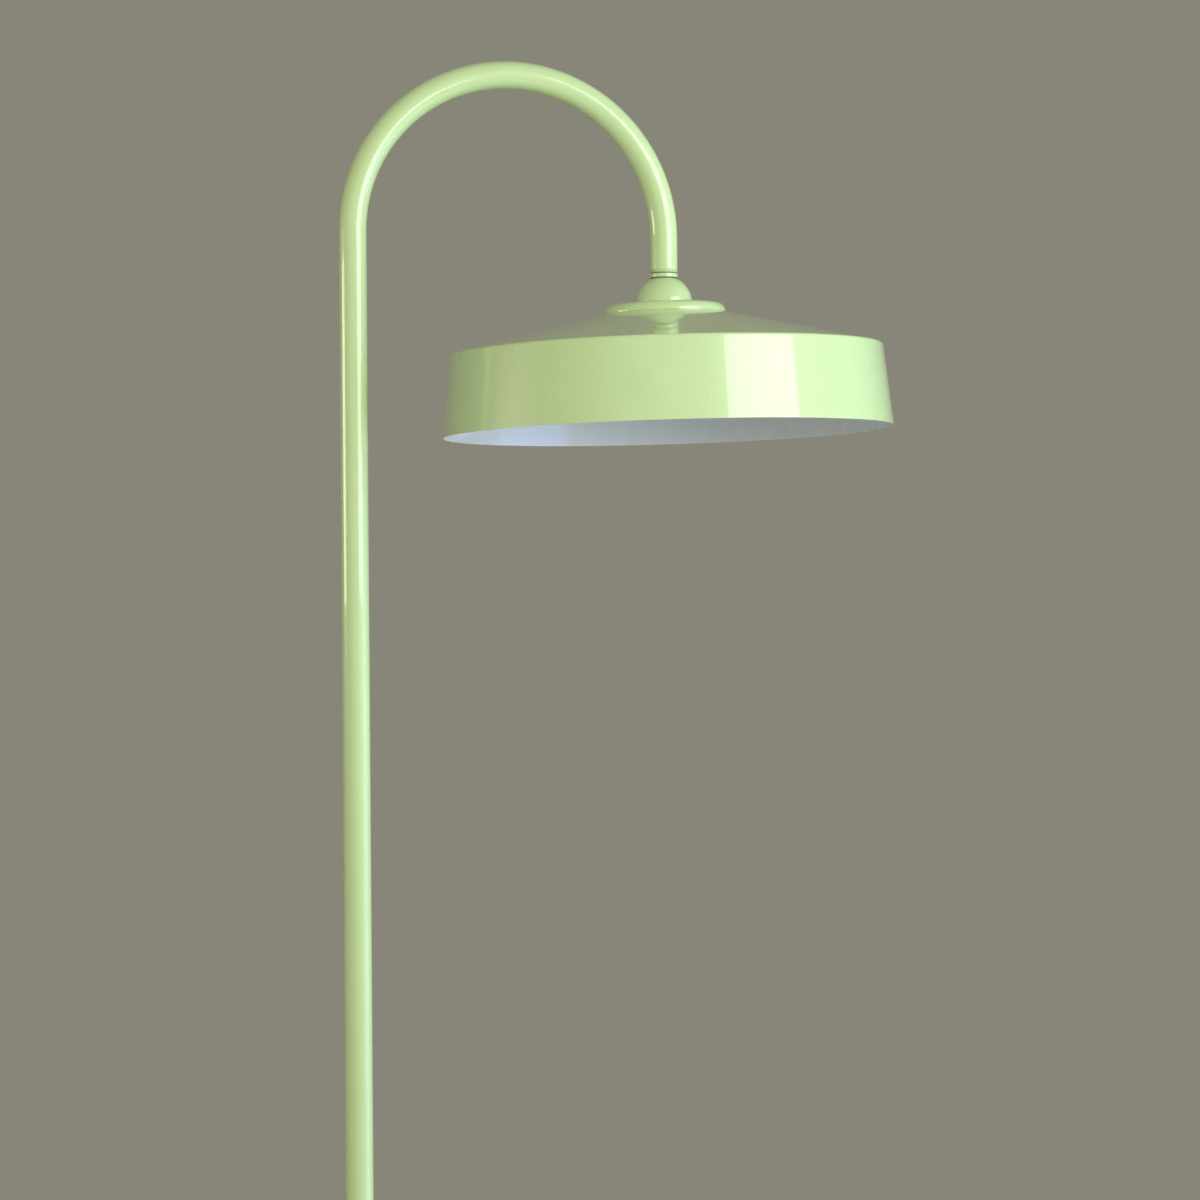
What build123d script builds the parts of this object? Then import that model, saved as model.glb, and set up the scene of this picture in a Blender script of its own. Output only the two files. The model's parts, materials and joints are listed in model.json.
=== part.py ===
from build123d import *
import os
from math import cos, radians, sin, sqrt

os.makedirs("parts", exist_ok=True)

# Adjustable arm floor lamp. Millimetres, +Z up. The origin is on the floor on the pole's axis,
# and the arm reaches along +X. The head swivels on the arm's end and tilts about its ball joint.

# ---- Overall sizes ----
overall_height = 1850.0
arm_reach = 324.0
head_drop = 36.0
tube_diameter = 28.0
tube_wall = 1.5
pole_split = 600.0

# ---- Base ----
base_diameter = 300.0
base_height = 26.0
cover_wall = 1.5
cover_rounding = 7.0
pad_thickness = 2.0
pad_inset = 4.0
weight_gap = 1.5
weight_height = 18.0
weight_floor = 3.0
boss_radius = 5.0
boss_circle = 125.0
boss_first_angle = 45.0
cover_screw_radius = 2.0
cover_screw_head_radius = 3.6
cover_screw_head_height = 2.6

# ---- Pivot of the pole ----
spigot_radius = 10.0
spigot_bore = 7.0
spigot_flange_radius = 30.0
spigot_flange_height = 4.0
spigot_length = 118.0
spigot_screw_radius = 2.5
spigot_screw_head_radius = 5.0
spigot_screw_circle = 22.0
spigot_screw_length = 12.0
spigot_nut_height = 5.0
bush_length = 20.0
upper_bush_offset = 90.5
thrust_thickness = 1.5
running_play = 0.05
clearance = 0.4
collar_width = 9.0
collar_height = 10.0
collar_lip = 2.6
coupler_length = 80.0
coupler_wall = 2.5

# ---- Foot switch and wiring ----
lead_radius = 2.8
lead_bend = 10.0
lead_height = 10.0
channel_width = 9.0
button_offset = 95.0
button_radius = 12.0
button_travel = 3.5
button_dish = 60.0
bezel_radius = 17.5
bezel_height = 2.5
bezel_neck_radius = 14.5
button_flange_radius = 13.6
button_flange_height = 2.0
button_stem_radius = 4.0
button_stem_length = 10.5
switch_pocket_radius = 20.0
switch_size = 26.0
switch_height = 11.0
switch_floor = 2.0
spring_radius = 8.0
spring_wire_radius = 0.5
spring_turns = 3.5
terminal_offset = 95.0
terminal_length = 30.0
terminal_width = 16.0
terminal_height = 10.0
terminal_pocket_margin = 4.0
terminal_hole_radius = 1.6
terminal_hole_spacing = 8.0
lead_corner = 30.0
grommet_height = 12.0
grommet_bore = 3.6
grommet_neck_radius = 5.0
grommet_flange_radius = 6.5
grommet_flange_thickness = 1.5

# ---- Swivel at the arm's end ----
washer_thickness = 0.9
washer_inset = 0.4
ring_height = 3.9
lower_washer_height = 1.1
stem_radius = 5.0
stem_bore = 3.2
end_bush_height = 12.0
top_washer_radius = 10.0
top_washer_thickness = 1.5
top_nut_flats = 17.0
top_nut_height = 5.0
thread_end = 3.0
dome_radius = 29.0
dome_wall = 2.0
ball_play = 0.3
tilt_limit = 35.0
slot_margin = 1.5
slot_play = 0.9
head_lean = 1.3
cup_thickness = 1.7
cup_radius = 12.0
cup_hub_radius = 9.0
cup_hub_height = 20.5
clamp_nut_height = 5.0
clamp_nut_bottom = 7.5
clamp_nut_flats = 15.0
nut_corner = 1.09
spring_disc_count = 4
spring_disc_radius = 9.5
spring_disc_thickness = 0.8
spring_disc_gap = 0.1
lead_parting = 1.5

# ---- Head ----
disc_radius = 62.5
disc_height = 10.1
disc_crown = 0.8
disc_crown_radius = 31.0
disc_rounding = 8.5
disc_recess = 3.35
disc_rim_width = 1.5
disc_rim_gap = 0.05
dome_flange_radius = 15.0
dome_flange_height = 2.5
dome_screw_circle = 19.0
dome_screw_radius = 1.5
dome_screw_head_radius = 2.75
dome_screw_head_height = 2.4
neck_radius = 25.0
neck_wall = 3.0
neck_length = 8.0
shade_wall = 1.0
shade_flat_radius = 48.0
shoulder_radius = 221.5
shoulder_drop = 40.8
shoulder_rounding = 3.0
rim_radius = 230.0
drum_height = 83.5
shade_play = 0.2
shade_ring_radius = 33.0
shade_ring_height = 4.0

# ---- Lamp holder and bulb ----
nipple_top = 2.0
holder_cap_radius = 19.0
holder_cap_wall = 1.6
holder_cap_top = 3.0
holder_cap_height = 20.8
holder_cap_drop = 13.4
nipple_nut_flats = 16.0
nipple_nut_height = 4.0
holder_body_length = 28.0
holder_floor = 3.0
shell_radius = 13.7
shell_wall = 0.5
shell_length = 21.0
contact_radius = 4.0
contact_height = 1.5
bulb_cap_length = 21.0
bulb_tip_radius = 4.5
bulb_tip_height = 1.5
bulb_radius = 22.5
bulb_neck_radius = 12.6
bulb_neck_length = 4.0
bulb_wall = 0.8

# ---- Places worked out from the sizes above ----
base_radius = base_diameter / 2
tube_radius = tube_diameter / 2
tube_bore = tube_radius - tube_wall
bow_radius = arm_reach / 2
spring_line = overall_height - tube_radius - bow_radius
tube_end = spring_line - head_drop

collar_bore = tube_radius + clearance
collar_radius = tube_radius + collar_width
cover_hole_radius = collar_bore + collar_lip
weight_radius = base_radius - cover_wall - weight_gap
weight_top = pad_thickness + weight_height
weight_pocket = pad_thickness + weight_floor
cover_inside = base_height - cover_wall
flange_top = weight_top + spigot_flange_height
spigot_top = flange_top + spigot_length
pole_foot = flange_top + thrust_thickness
upper_bush_foot = pole_foot + upper_bush_offset
spigot_nut_foot = upper_bush_foot + bush_length + clearance
lead_top = spigot_top + lead_bend

switch_top = weight_pocket + switch_height
button_flange_top = cover_inside - clearance / 2
button_flange_foot = button_flange_top - button_flange_height
bezel_top = base_height + bezel_height
button_top = bezel_top + button_travel
bezel_bore = button_radius + clearance

washer_radius = tube_radius - washer_inset
ring_top = tube_end - washer_thickness
ring_foot = ring_top - ring_height
play_radius = dome_radius + ball_play
pivot_height = ring_foot - lower_washer_height - sqrt(play_radius**2 - tube_radius**2)
dome_bore = dome_radius - dome_wall
cup_outside = dome_bore - ball_play
stem_hole = stem_radius + slot_play
end_bush_top = tube_end + end_bush_height
top_nut_foot = end_bush_top + top_washer_thickness
stem_top = top_nut_foot + top_nut_height + thread_end
stem_foot = pivot_height + clamp_nut_bottom - ball_play * 5
clamp_nut_top = clamp_nut_bottom + clamp_nut_height

disc_foot = pivot_height - disc_height
shade_seat = disc_foot + disc_recess
shade_under = shade_seat - shade_wall
shoulder_height = shade_seat - shoulder_drop
rim_height = shoulder_height - drum_height
neck_bore = neck_radius - neck_wall
cap_top = pivot_height - holder_cap_drop
cap_inside = cap_top - holder_cap_top
holder_radius = holder_cap_radius - holder_cap_wall
holder_foot = cap_inside - holder_body_length
holder_ceiling = cap_inside - holder_floor
shell_top = holder_ceiling - contact_height - clearance
bulb_cap_radius = shell_radius - shell_wall
bulb_cap_top = holder_ceiling - contact_height - bulb_tip_height
bulb_cap_foot = bulb_cap_top - bulb_cap_length
bulb_middle = bulb_cap_foot - bulb_neck_length - sqrt(bulb_radius**2 - bulb_neck_radius**2)

# The knuckle stands square on the arm. The head hangs from the same pivot, and leans a little
# in the play of its joint, so its pieces are drawn in a frame of their own, where x is the
# distance from its axis and y is still the height that a piece would have on an upright head.
lean = radians(head_lean)
head_up = Vector(-sin(lean), 0, cos(lean))
head_right = Vector(cos(lean), 0, sin(lean))
head_pivot = Vector(arm_reach, 0, pivot_height)
head_origin = head_pivot - head_up * pivot_height

knuckle_section = Plane((arm_reach, 0, 0), x_dir=(1, 0, 0), z_dir=(0, -1, 0))
knuckle_axis = Axis((arm_reach, 0, 0), (0, 0, 1))
head_section = Plane(head_origin, x_dir=head_right, z_dir=(0, -1, 0))
head_axis = Axis(head_origin, head_up)
tilt_section = Plane(head_pivot, x_dir=(0, 1, 0), z_dir=(1, 0, 0))


def level(height, place=(0, 0)):
    """The level plane at a height, centred on a place on the floor."""
    return Plane((*place, height))


def head_level(height):
    """The plane square to the head's axis, at its own height."""
    return Plane(head_origin + head_up * height, x_dir=head_right, z_dir=head_up)


def save(piece, name):
    piece.part.label = name
    export_step(piece.part, f"parts/{name}.step")


def ring(outer, inner, foot, height):
    """A plain turned ring or disc that stands on the plane foot."""
    with BuildPart() as piece:
        with BuildSketch(foot):
            Circle(outer)
            if inner:
                Circle(inner, mode=Mode.SUBTRACT)
        extrude(amount=height)
    return piece


def hex_nut(flats, bore, foot, height):
    """A hexagon nut with its corners eased, standing on the plane foot."""
    with BuildPart() as piece:
        with BuildSketch(foot):
            RegularPolygon(flats / 2, 6, major_radius=False)
            Circle(bore, mode=Mode.SUBTRACT)
        extrude(amount=height)
        with BuildSketch(foot):
            Circle(flats / 2 * nut_corner)
        extrude(amount=height, mode=Mode.INTERSECT)
    return piece


def arm_line(foot, end):
    """The tube's centreline: up the pole, over the bow and down towards the head."""
    with BuildLine(Plane.XZ) as line:
        pole = Line((0, foot), (0, spring_line))
        bow = TangentArc(pole @ 1, (arm_reach, spring_line), tangent=pole % 1)
        Line(bow @ 1, (arm_reach, end))
    return line.line


def swept(path, radius, bore=0.0):
    """A round bar or tube along a path that starts where its first edge starts."""
    start = path.edges()[0]
    with BuildPart() as piece:
        with BuildSketch(Plane(start @ 0, z_dir=start % 0)):
            Circle(radius)
            if bore:
                Circle(bore, mode=Mode.SUBTRACT)
        sweep(path=path)
    return piece


head = (arm_reach, 0)
button = (0, -button_offset)

# ======== Base ========

base_pad = ring(base_radius - pad_inset, 0, level(0), pad_thickness)
save(base_pad, "base_pad")


def switch_route(height):
    """The lead from the terminal block's side round to the switch."""
    with BuildLine(Plane.XY.offset(height)) as line:
        FilletPolyline(
            (-terminal_offset, -terminal_width / 2),
            (-terminal_offset, -button_offset),
            (-switch_size / 2, -button_offset),
            radius=lead_corner,
        )
    return line.line


# The weight is pocketed from above for the switch, the terminal block and the leads.
channel_route = switch_route(0)
with BuildPart() as base_weight:
    with BuildSketch(Plane.XY.offset(pad_thickness)):
        Circle(weight_radius)
    extrude(amount=weight_height)
    with BuildSketch(Plane.XY.offset(weight_pocket)):
        with Locations(button):
            Circle(switch_pocket_radius)
        with Locations((-terminal_offset, 0)):
            Rectangle(
                terminal_length + 2 * terminal_pocket_margin,
                terminal_width + 2 * terminal_pocket_margin,
            )
        with Locations((-terminal_offset / 2, 0)):
            Rectangle(terminal_offset, channel_width)
        with Locations((-(terminal_offset + weight_radius) / 2, 0)):
            Rectangle(weight_radius - terminal_offset + 1, terminal_width)
        Circle(channel_width)
        trace(channel_route, line_width=channel_width)
    extrude(amount=weight_height, mode=Mode.SUBTRACT)
    with BuildSketch(Plane.XY.offset(pad_thickness)):
        with PolarLocations(boss_circle, 3, start_angle=boss_first_angle):
            Circle(cover_screw_radius + clearance)
    extrude(amount=weight_height, mode=Mode.SUBTRACT)
    with BuildSketch(Plane.XY.offset(pad_thickness)):
        with PolarLocations(boss_circle, 3, start_angle=boss_first_angle):
            Circle(cover_screw_head_radius + clearance)
    extrude(amount=cover_screw_head_height + 1, mode=Mode.SUBTRACT)
    with BuildSketch(Plane.XY.offset(weight_top - spigot_screw_length)):
        with PolarLocations(spigot_screw_circle, 3):
            Circle(spigot_screw_radius)
    extrude(amount=spigot_screw_length, mode=Mode.SUBTRACT)
save(base_weight, "base_weight")

with BuildPart() as base_cover:
    with BuildSketch(Plane.XY.offset(pad_thickness)):
        Circle(base_radius)
    extrude(amount=base_height - pad_thickness)
    fillet(base_cover.edges().group_by(Axis.Z)[-1], radius=cover_rounding)
    offset(amount=-cover_wall, openings=base_cover.faces().sort_by(Axis.Z)[0])
    with BuildSketch(Plane.XY.offset(weight_top)):
        with PolarLocations(boss_circle, 3, start_angle=boss_first_angle):
            Circle(boss_radius)
    extrude(amount=cover_inside - weight_top)
    with BuildSketch(Plane.XY.offset(weight_top)):
        with PolarLocations(boss_circle, 3, start_angle=boss_first_angle):
            Circle(cover_screw_radius)
    extrude(amount=cover_inside - weight_top, mode=Mode.SUBTRACT)
    with BuildSketch(Plane.XY.offset(cover_inside - 1)):
        Circle(cover_hole_radius)
        with Locations(button):
            Circle(bezel_neck_radius)
    extrude(amount=cover_wall + 2, mode=Mode.SUBTRACT)
    with BuildSketch(Plane((-base_radius - 1, 0, grommet_height), x_dir=(0, 1, 0), z_dir=(1, 0, 0))):
        Circle(grommet_neck_radius)
    extrude(amount=cover_wall + 2, mode=Mode.SUBTRACT)
save(base_cover, "base_cover")

screw_head_foot = pad_thickness + 1
with BuildPart() as cover_screws:
    with BuildSketch(Plane.XY.offset(screw_head_foot)):
        with PolarLocations(boss_circle, 3, start_angle=boss_first_angle):
            Circle(cover_screw_head_radius)
    extrude(amount=cover_screw_head_height)
    with BuildSketch(Plane.XY.offset(screw_head_foot)):
        with PolarLocations(boss_circle, 3, start_angle=boss_first_angle):
            Circle(cover_screw_radius)
    extrude(amount=cover_inside - screw_head_foot - 0.5)
    with BuildSketch(Plane.XY.offset(screw_head_foot)):
        with PolarLocations(boss_circle, 3, start_angle=boss_first_angle):
            RegularPolygon(cover_screw_radius * 0.7, 6)
    extrude(amount=1.5, mode=Mode.SUBTRACT)
save(cover_screws, "cover_screws")

with BuildPart() as pole_spigot:
    with BuildSketch(Plane.XY.offset(weight_top)):
        Circle(spigot_flange_radius)
    extrude(amount=spigot_flange_height)
    with BuildSketch(Plane.XY.offset(flange_top)):
        Circle(spigot_radius)
    extrude(amount=spigot_length)
    chamfer(pole_spigot.edges().group_by(Axis.Z)[-1], length=0.8)
    with BuildSketch(Plane.XY.offset(weight_top)):
        Circle(spigot_bore)
    extrude(amount=spigot_top - weight_top, mode=Mode.SUBTRACT)
    with Locations(Plane.XY.offset(flange_top)):
        with PolarLocations(spigot_screw_circle, 3):
            CounterSinkHole(spigot_screw_radius, spigot_screw_head_radius, spigot_flange_height)
save(pole_spigot, "pole_spigot")

sink_depth = spigot_screw_head_radius - spigot_screw_radius
with BuildPart() as spigot_screws:
    with BuildSketch(Plane.XY.offset(weight_top - spigot_screw_length + 1)):
        with PolarLocations(spigot_screw_circle, 3):
            Circle(spigot_screw_radius)
    extrude(amount=spigot_screw_length + spigot_flange_height - 1)
    with Locations(Plane.XY.offset(flange_top - sink_depth / 2)):
        with PolarLocations(spigot_screw_circle, 3):
            Cone(spigot_screw_radius, spigot_screw_head_radius, sink_depth)
    with BuildSketch(Plane.XY.offset(flange_top)):
        with PolarLocations(spigot_screw_circle, 3):
            RegularPolygon(spigot_screw_radius * 0.8, 6)
    extrude(amount=-1.5, mode=Mode.SUBTRACT)
save(spigot_screws, "spigot_screws")

spigot_nut = ring(
    tube_bore - clearance, spigot_radius, level(spigot_nut_foot), spigot_nut_height
)
save(spigot_nut, "spigot_nut")

with BuildPart() as pole_collar:
    with BuildSketch(Plane.XY.offset(base_height)):
        Circle(collar_radius)
    extrude(amount=collar_height)
    fillet(pole_collar.edges().group_by(Axis.Z)[-1], radius=collar_height * 0.5)
    with BuildSketch(Plane.XY.offset(cover_inside)):
        Circle(cover_hole_radius)
    extrude(amount=cover_wall)
    with BuildSketch(Plane.XY.offset(cover_inside)):
        Circle(collar_bore)
    extrude(amount=cover_wall + collar_height, mode=Mode.SUBTRACT)
save(pole_collar, "pole_collar")

# The grommet's flanges lie flat on each side of the round skirt.
skirt_inside = base_radius - cover_wall
grommet_inner = sqrt(skirt_inside**2 - grommet_flange_radius**2)
grommet_end = grommet_inner - grommet_flange_thickness
with BuildPart() as cable_grommet:
    with BuildSketch(Plane((-base_radius, 0, grommet_height), x_dir=(0, 1, 0), z_dir=(-1, 0, 0))):
        Circle(grommet_flange_radius)
    extrude(amount=grommet_flange_thickness)
    fillet(cable_grommet.edges().sort_by(Axis.X)[0], radius=0.6)
    with BuildSketch(Plane((-grommet_inner, 0, grommet_height), x_dir=(0, 1, 0), z_dir=(1, 0, 0))):
        Circle(grommet_flange_radius)
    extrude(amount=grommet_flange_thickness)
    with BuildSketch(Plane((-grommet_end, 0, grommet_height), x_dir=(0, 1, 0), z_dir=(-1, 0, 0))):
        Circle(grommet_neck_radius)
    extrude(amount=base_radius - grommet_end)
    with BuildSketch(Plane((-grommet_end, 0, grommet_height), x_dir=(0, 1, 0), z_dir=(-1, 0, 0))):
        Circle(grommet_bore)
    extrude(amount=base_radius - grommet_end + grommet_flange_thickness, mode=Mode.SUBTRACT)
save(cable_grommet, "cable_grommet")

with BuildPart() as button_bezel:
    with BuildSketch(Plane((*button, base_height))):
        Circle(bezel_radius)
    extrude(amount=bezel_height)
    fillet(button_bezel.edges().group_by(Axis.Z)[-1], radius=bezel_height * 0.6)
    with BuildSketch(Plane((*button, cover_inside))):
        Circle(bezel_neck_radius)
    extrude(amount=cover_wall)
    with BuildSketch(Plane((*button, cover_inside))):
        Circle(bezel_bore)
    extrude(amount=cover_wall + bezel_height, mode=Mode.SUBTRACT)
save(button_bezel, "button_bezel")

with BuildPart() as switch_body:
    with BuildSketch(Plane((*button, weight_pocket))):
        RectangleRounded(switch_size, switch_size, 2)
    extrude(amount=switch_height)
    with BuildSketch(Plane((*button, weight_pocket + switch_floor))):
        Circle(button_stem_radius + clearance)
    extrude(amount=switch_height, mode=Mode.SUBTRACT)
save(switch_body, "switch_body")

spring_height = button_flange_foot - switch_top - 2 * spring_wire_radius
with BuildPart() as button_spring:
    with BuildLine() as coil:
        Helix(
            pitch=spring_height / spring_turns,
            height=spring_height,
            radius=spring_radius,
            center=(*button, switch_top + spring_wire_radius),
        )
    with BuildSketch(Plane(coil.line @ 0, z_dir=coil.line % 0)):
        Circle(spring_wire_radius)
    sweep(is_frenet=True)
save(button_spring, "button_spring")

with BuildPart() as foot_button:
    with BuildSketch(Plane((*button, button_flange_foot))):
        Circle(button_radius)
    extrude(amount=button_top - button_flange_foot)
    fillet(foot_button.edges().group_by(Axis.Z)[-1], radius=1.2)
    with Locations((*button, button_top - 0.8 + button_dish)):
        Sphere(button_dish, mode=Mode.SUBTRACT)
    with BuildSketch(Plane((*button, button_flange_foot))):
        Circle(button_flange_radius)
    extrude(amount=button_flange_height)
    with BuildSketch(Plane((*button, button_flange_foot - button_stem_length))):
        Circle(button_stem_radius)
    extrude(amount=button_stem_length)
save(foot_button, "foot_button")

with BuildPart() as terminal_block:
    with BuildSketch(Plane((-terminal_offset, 0, weight_pocket))):
        RectangleRounded(terminal_length, terminal_width, 1.5)
    extrude(amount=terminal_height)
    with BuildSketch(Plane((-terminal_offset, 0, weight_pocket + terminal_height))):
        with GridLocations(terminal_hole_spacing, terminal_hole_spacing, 3, 2):
            Circle(terminal_hole_radius)
    extrude(amount=-terminal_height * 0.6, mode=Mode.SUBTRACT)
save(terminal_block, "terminal_block")

with BuildLine(Plane.XZ) as base_route:
    FilletPolyline(
        (-terminal_offset + terminal_length / 2, lead_height), (0, lead_height), (0, lead_top),
        radius=lead_bend,
    )
base_lead = swept(base_route.line, lead_radius)
save(base_lead, "base_lead")

switch_lead = swept(switch_route(lead_height), lead_radius)
save(switch_lead, "switch_lead")

# ======== Arm ========

thrust_washer = ring(
    tube_radius, spigot_radius + clearance, level(flange_top), thrust_thickness
)
save(thrust_washer, "thrust_washer")

lower_pole = ring(tube_radius, tube_bore, level(pole_foot), pole_split - pole_foot)
save(lower_pole, "lower_pole")

bush_bore = spigot_radius + running_play
lower_bush = ring(tube_bore, bush_bore, level(pole_foot), bush_length)
save(lower_bush, "lower_bush")

upper_bush = ring(tube_bore, bush_bore, level(upper_bush_foot), bush_length)
save(upper_bush, "upper_bush")

coupler_foot = level(pole_split - coupler_length / 2)
pole_coupler = ring(tube_bore, tube_bore - coupler_wall, coupler_foot, coupler_length)
save(pole_coupler, "pole_coupler")

arm_tube = swept(arm_line(pole_split, tube_end), tube_radius, tube_bore)
save(arm_tube, "arm_tube")

tube_end_bush = ring(
    tube_bore, stem_radius + running_play, level(tube_end, head), end_bush_height
)
save(tube_end_bush, "tube_end_bush")

arm_lead = swept(arm_line(lead_top, stem_top + thread_end), lead_radius)
save(arm_lead, "arm_lead")

# ======== Knuckle ========

with BuildPart() as swivel_stem:
    with BuildSketch(level(stem_foot, head)):
        Circle(stem_radius)
    extrude(amount=stem_top - stem_foot)
    chamfer(swivel_stem.edges().group_by(Axis.Z)[-1], length=0.6)
    with BuildSketch(level(stem_foot, head)):
        Circle(stem_bore)
    extrude(amount=stem_top - stem_foot, mode=Mode.SUBTRACT)
save(swivel_stem, "swivel_stem")

stem_top_washer = ring(
    top_washer_radius, stem_radius, level(end_bush_top, head), top_washer_thickness
)
save(stem_top_washer, "stem_top_washer")

stem_top_nut = hex_nut(top_nut_flats, stem_radius, level(top_nut_foot, head), top_nut_height)
save(stem_top_nut, "stem_top_nut")

upper_washer = ring(washer_radius, stem_radius, level(ring_top, head), washer_thickness)
save(upper_washer, "upper_washer")

with BuildPart() as swivel_ring:
    with BuildSketch(level(ring_foot, head)):
        Circle(tube_radius)
        Circle(stem_radius, mode=Mode.SUBTRACT)
    extrude(amount=ring_height)
    with Locations((*head, pivot_height)):
        Sphere(play_radius, mode=Mode.SUBTRACT)
save(swivel_ring, "swivel_ring")

# The lower washer is a dished seat, worn to the dome's curve. It starts where the dome has
# dropped clear of the ring's flat face.
dome_height_at_ring = ring_foot - pivot_height
seat_inside = sqrt(play_radius**2 - (dome_height_at_ring - 0.3) ** 2)
with BuildPart() as lower_washer:
    with BuildSketch(level(ring_foot, head)):
        Circle(washer_radius)
        Circle(seat_inside, mode=Mode.SUBTRACT)
    extrude(amount=-lower_washer_height * 1.5)
    with Locations((*head, pivot_height)):
        Sphere(play_radius, mode=Mode.SUBTRACT)
save(lower_washer, "lower_washer")

with BuildPart() as inner_cup:
    with BuildSketch(knuckle_section):
        with Locations((0, pivot_height)):
            Circle(cup_outside)
            Circle(cup_outside - cup_thickness, mode=Mode.SUBTRACT)
        with Locations((stem_radius, pivot_height + cup_hub_height)):
            Rectangle(
                cup_hub_radius - stem_radius,
                cup_outside - cup_hub_height - cup_thickness,
                align=(Align.MIN, Align.MIN),
            )
        with Locations((stem_radius, pivot_height + cup_hub_height)):
            Rectangle(
                cup_radius - stem_radius,
                cup_outside - cup_hub_height,
                align=(Align.MIN, Align.MIN),
                mode=Mode.INTERSECT,
            )
    revolve(axis=knuckle_axis)
save(inner_cup, "inner_cup")

# Four coned washers, stacked edge to edge, press the cup against the inside of the dome.
disc_pitch = (cup_hub_height - clamp_nut_top) / spring_disc_count
disc_cone = disc_pitch - spring_disc_gap - spring_disc_thickness
with BuildPart() as disc_springs:
    with BuildSketch(knuckle_section):
        for number in range(spring_disc_count):
            low = pivot_height + clamp_nut_top + number * disc_pitch + spring_disc_gap / 2
            inner = low if number % 2 else low + disc_cone
            outer = low + disc_cone if number % 2 else low
            with BuildLine():
                Polyline(
                    (stem_radius + 0.2, inner),
                    (spring_disc_radius, outer),
                    (spring_disc_radius, outer + spring_disc_thickness),
                    (stem_radius + 0.2, inner + spring_disc_thickness),
                    close=True,
                )
            make_face()
    revolve(axis=knuckle_axis)
save(disc_springs, "disc_springs")

clamp_nut_foot = level(pivot_height + clamp_nut_bottom, head)
clamp_nut = hex_nut(clamp_nut_flats, stem_radius, clamp_nut_foot, clamp_nut_height)
save(clamp_nut, "clamp_nut")

knuckle_lead_foot = pivot_height + lead_parting
knuckle_lead = ring(
    lead_radius, 0, level(knuckle_lead_foot, head), stem_top + thread_end - knuckle_lead_foot
)
save(knuckle_lead, "knuckle_lead")

# ======== Head ========

# The dome slides under the swivel ring. The slot for the stem runs down its far side.
slot_end = tilt_limit + slot_margin
slot_reach = dome_radius + 5
slot_direction = (0, sin(radians(slot_end)), cos(radians(slot_end)))
with BuildPart() as dome_cap:
    with BuildSketch(head_section):
        with Locations((0, pivot_height)):
            Circle(dome_radius)
            Circle(dome_bore, mode=Mode.SUBTRACT)
            Rectangle(dome_radius, dome_radius, align=Align.MIN, mode=Mode.INTERSECT)
        with Locations((dome_flange_radius, pivot_height)):
            Rectangle(
                dome_bore - dome_flange_radius + dome_wall / 2, dome_flange_height, align=Align.MIN
            )
    revolve(axis=head_axis)
    with BuildSketch(level(pivot_height + dome_flange_height, head)):
        Circle(stem_hole)
    extrude(amount=slot_reach, mode=Mode.SUBTRACT)
    with BuildSketch(tilt_section):
        with BuildLine():
            slot_side = PolarLine((0, 0), slot_reach, 90 - slot_end)
            slot_crown = CenterArc((0, 0), slot_reach, 90 - slot_end, slot_end)
            Line(slot_crown @ 1, slot_side @ 0)
        make_face()
    extrude(amount=stem_hole, both=True, mode=Mode.SUBTRACT)
    with BuildSketch(Plane(head_pivot, x_dir=(1, 0, 0), z_dir=slot_direction)):
        Circle(stem_hole)
    extrude(amount=slot_reach, mode=Mode.SUBTRACT)
    with BuildSketch(head_level(pivot_height)):
        with PolarLocations(dome_screw_circle, 3):
            Circle(dome_screw_radius)
    extrude(amount=dome_flange_height, mode=Mode.SUBTRACT)
save(dome_cap, "dome_cap")

# The disc's recess takes the flat middle of the shade, and its rim follows the cone.
with BuildPart() as collar_disc:
    with BuildSketch(head_section):
        with BuildLine():
            Polyline(
                (0, disc_foot),
                (disc_radius, disc_foot),
                (disc_radius, pivot_height - disc_crown),
                (disc_crown_radius, pivot_height),
                (0, pivot_height),
                close=True,
            )
        make_face()
    revolve(axis=head_axis)
    rim_edge = collar_disc.edges().filter_by(GeomType.CIRCLE).sort_by(Axis.Z)[-2]
    fillet(rim_edge, radius=disc_rounding)
    with BuildSketch(head_level(disc_foot)):
        Circle(disc_radius - disc_rim_width)
    extrude(amount=disc_recess, mode=Mode.SUBTRACT)
    with BuildSketch(head_section):
        with BuildLine():
            Polyline(
                (shade_flat_radius, shade_seat + disc_rim_gap),
                (shoulder_radius, shoulder_height + disc_rim_gap),
                (shade_flat_radius, shoulder_height + disc_rim_gap),
                close=True,
            )
        make_face()
    revolve(axis=head_axis, mode=Mode.SUBTRACT)
    with BuildSketch(head_level(shade_seat)):
        Circle(neck_radius)
        Circle(neck_bore, mode=Mode.SUBTRACT)
    extrude(amount=-neck_length)
    with BuildSketch(head_level(disc_foot)):
        Circle(stem_radius)
        with PolarLocations(dome_screw_circle, 3):
            Circle(dome_screw_radius)
    extrude(amount=disc_height, mode=Mode.SUBTRACT)
    with BuildSketch(head_level(shade_seat)):
        with PolarLocations(dome_screw_circle, 3):
            Circle(dome_screw_head_radius)
    extrude(amount=dome_screw_head_height, mode=Mode.SUBTRACT)
save(collar_disc, "collar_disc")

with BuildPart() as dome_screws:
    with BuildSketch(head_level(shade_seat)):
        with PolarLocations(dome_screw_circle, 3):
            Circle(dome_screw_head_radius)
    extrude(amount=dome_screw_head_height)
    with BuildSketch(head_level(shade_seat)):
        with PolarLocations(dome_screw_circle, 3):
            Circle(dome_screw_radius)
    extrude(amount=pivot_height + dome_flange_height - shade_seat)
    with BuildSketch(head_level(shade_seat)):
        with PolarLocations(dome_screw_circle, 3):
            RegularPolygon(dome_screw_radius * 0.8, 6)
    extrude(amount=1.2, mode=Mode.SUBTRACT)
save(dome_screws, "dome_screws")

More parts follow.
